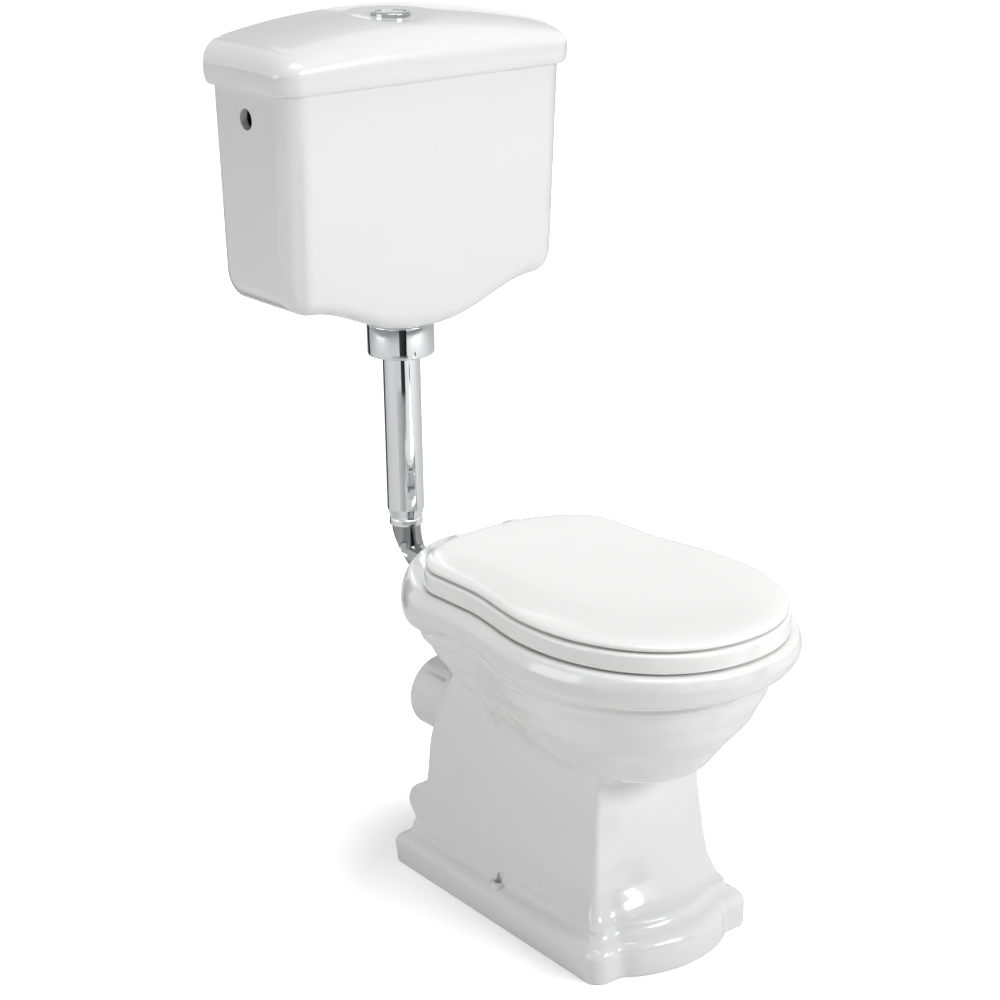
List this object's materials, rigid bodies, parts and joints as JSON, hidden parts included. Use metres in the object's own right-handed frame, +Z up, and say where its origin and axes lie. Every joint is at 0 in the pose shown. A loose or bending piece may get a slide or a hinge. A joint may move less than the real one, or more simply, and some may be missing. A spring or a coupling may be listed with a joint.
{
  "type": "low level toilet",
  "caption": "Low level toilet: floor-standing china pan with horizontal outlet, hinged seat and cover, and a wall-hung cistern with a chrome flush pipe and a push button on its lid.",
  "frame": {"origin": "on the floor, at the centre of the plan box: midway between the wall face of the cistern and the front of the pan, on the plane of symmetry", "axes": "+Z up, +Y towards the wall, -Y is the front, X across the width"},
  "size_m": [0.464, 0.769, 1.105],
  "materials": {
    "china": "glazed",
    "seat_white": "gloss",
    "buffer_rubber": "matte",
    "chrome": "polished",
    "brass": "turned",
    "grey_plastic": "matte",
    "blue_plastic": "matte"
  },
  "bodies": {
    "pan_and_cistern": {"pan": "china", "hinge_posts": "chrome", "hinge_pins": "chrome", "seat_bolts": "brass", "seat_washers": "buffer_rubber", "seat_wing_nuts": "grey_plastic", "cistern_tank": "china", "flush_valve_body": "blue_plastic", "valve_bridge": "grey_plastic", "rocker_pin": "brass", "outlet_washer": "buffer_rubber", "outlet_backnut": "grey_plastic", "pipe_collar": "chrome", "pipe_seal": "buffer_rubber", "pipe_upper": "chrome", "pipe_bend": "chrome", "flush_cone": "buffer_rubber", "fill_valve": "brass", "fill_outlet_tube": "grey_plastic", "inlet_washers": "buffer_rubber", "inlet_backnut": "grey_plastic", "float_pin": "brass"},
    "seat": {"seat_ring": "seat_white", "seat_buffers": "buffer_rubber"},
    "cover": {"seat_cover": "seat_white", "cover_buffers": "buffer_rubber"},
    "lid": {"cistern_lid": "china", "button_bezel": "chrome", "bezel_nut": "grey_plastic"},
    "button": {"push_button": "chrome", "push_rod": "grey_plastic"},
    "rocker": {"flush_rocker": "blue_plastic"},
    "flush_tube": {"overflow_tube": "blue_plastic", "valve_seal": "buffer_rubber"},
    "float": {"float_arm": "grey_plastic", "float_cup": "grey_plastic"}
  },
  "joints": [
    {"name": "seat_hinge", "type": "hinge", "parent": "pan_and_cistern", "child": "seat", "pos_m": [0, 0.133, 0.44], "axis": [-1, 0, 0], "range_deg": [0, 95]},
    {"name": "cover_hinge", "type": "hinge", "parent": "seat", "child": "cover", "pos_m": [0, 0.133, 0.44], "axis": [1, 0, 0], "range_deg": [-95, 0]},
    {"name": "lid_lift", "type": "slide", "parent": "pan_and_cistern", "child": "lid", "axis": [0, 0, 1], "range_m": [0, 0.25]},
    {"name": "button_press", "type": "slide", "parent": "lid", "child": "button", "axis": [0, 0, -1], "range_m": [0, 0.006], "stiffness_N_per_m": 400, "springref_m": -0.004},
    {"name": "rocker_tilt", "type": "hinge", "parent": "pan_and_cistern", "child": "rocker", "pos_m": [-0.044, 0.295, 0.845], "axis": [0, -1, 0], "range_deg": [0, 24.75]},
    {"name": "tube_lift", "type": "slide", "parent": "pan_and_cistern", "child": "flush_tube", "axis": [0, 0, 1], "range_m": [0, 0.01372]},
    {"name": "float_swing", "type": "hinge", "parent": "pan_and_cistern", "child": "float", "pos_m": [0.146, 0.303, 0.986], "axis": [0, 1, 0], "range_deg": [0, 18]}
  ],
  "couplings": [
    {"joint": "rocker_tilt", "follows": "button_press", "rad_per_m": 71.987},
    {"joint": "tube_lift", "follows": "button_press", "ratio": 2.2857}
  ]
}
